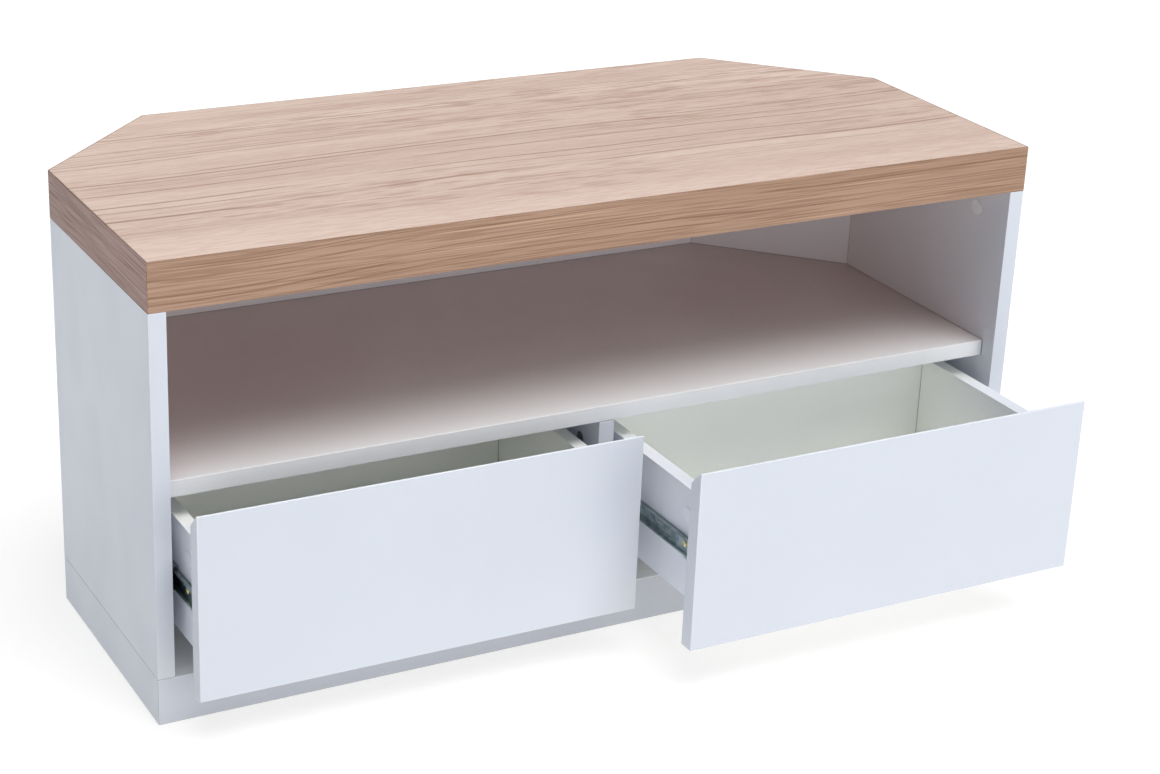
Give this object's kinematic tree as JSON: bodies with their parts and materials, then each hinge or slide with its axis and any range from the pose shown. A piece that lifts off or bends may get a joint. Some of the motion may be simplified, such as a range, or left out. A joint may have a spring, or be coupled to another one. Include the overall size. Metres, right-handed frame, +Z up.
{
  "type": "media cabinet",
  "caption": "Corner media cabinet with a thick oak-effect top, cut-back rear corners, an open niche above side-by-side drawers on ball-bearing runners, and a full plinth.",
  "frame": {"origin": "on the floor under the middle of the bounding box, with the drawers as they stand open", "axes": "+X to the right along the front, +Y towards the back, +Z up"},
  "size_m": [1, 0.61, 0.48],
  "materials": {
    "oak_laminate": "matt oak-effect laminate with straight grain",
    "white_board": "smooth satin white melamine on chipboard",
    "drawer_board": "matt off-white melamine on chipboard",
    "chipboard": "bare chipboard",
    "core_card": "bare card",
    "beech": "fluted beech",
    "zinc_steel": "bright zinc plate",
    "yellow_zinc": "yellow zinc plate",
    "die_cast_zinc": "as-cast",
    "bearing_steel": "polished",
    "white_plastic": "satin",
    "black_plastic": "satin"
  },
  "bodies": {
    "carcass": {"top_skin_upper": "oak_laminate", "top_skin_lower": "oak_laminate", "top_frame_front": "chipboard", "top_frame_back": "chipboard", "top_frame_sides": "chipboard", "top_frame_corners": "chipboard", "top_core": "core_card", "edge_front": "oak_laminate", "edge_back": "oak_laminate", "edge_left": "oak_laminate", "edge_right": "oak_laminate", "edge_corners": "oak_laminate", "side_left": "white_board", "side_right": "white_board", "back_panel": "white_board", "corner_panel_left": "white_board", "corner_panel_right": "white_board", "shelf": "white_board", "divider": "white_board", "bottom_panel": "white_board", "plinth_front": "white_board", "plinth_left": "white_board", "plinth_right": "white_board", "plinth_corners": "white_board", "plinth_back": "white_board", "plinth_blocks": "chipboard", "cam_locks": "die_cast_zinc", "cam_bolts": "zinc_steel", "cover_caps": "white_plastic", "dowels": "beech", "cabinet_rails": "zinc_steel", "cabinet_rail_screws": "yellow_zinc", "rail_bumpers": "black_plastic"},
    "drawer_left": {"left_front": "white_board", "left_side_outer": "drawer_board", "left_side_inner": "drawer_board", "left_back": "drawer_board", "left_bottom": "drawer_board", "left_rails": "zinc_steel", "left_rail_screws": "yellow_zinc", "left_cam_locks": "die_cast_zinc", "left_cam_bolts": "zinc_steel", "left_cover_caps": "white_plastic", "left_dowels": "beech"},
    "cages_left": {"left_ball_cages": "zinc_steel", "left_balls": "bearing_steel"},
    "drawer_right": {"right_front": "white_board", "right_side_outer": "drawer_board", "right_side_inner": "drawer_board", "right_back": "drawer_board", "right_bottom": "drawer_board", "right_rails": "zinc_steel", "right_rail_screws": "yellow_zinc", "right_cam_locks": "die_cast_zinc", "right_cam_bolts": "zinc_steel", "right_cover_caps": "white_plastic", "right_dowels": "beech"},
    "cages_right": {"right_ball_cages": "zinc_steel", "right_balls": "bearing_steel"}
  },
  "joints": [
    {"name": "drawer_left_slide", "type": "slide", "parent": "carcass", "child": "drawer_left", "axis": [0, -1, 0], "range_m": [-0.061, 0.124]},
    {"name": "drawer_right_slide", "type": "slide", "parent": "carcass", "child": "drawer_right", "axis": [0, -1, 0], "range_m": [-0.165, 0.02]},
    {"name": "cages_left_roll", "type": "slide", "parent": "carcass", "child": "cages_left", "axis": [0, -1, 0], "range_m": [-0.0305, 0.062]},
    {"name": "cages_right_roll", "type": "slide", "parent": "carcass", "child": "cages_right", "axis": [0, -1, 0], "range_m": [-0.0825, 0.01]}
  ],
  "couplings": [
    {"joint": "cages_left_roll", "follows": "drawer_left_slide", "ratio": 0.5},
    {"joint": "cages_right_roll", "follows": "drawer_right_slide", "ratio": 0.5}
  ]
}
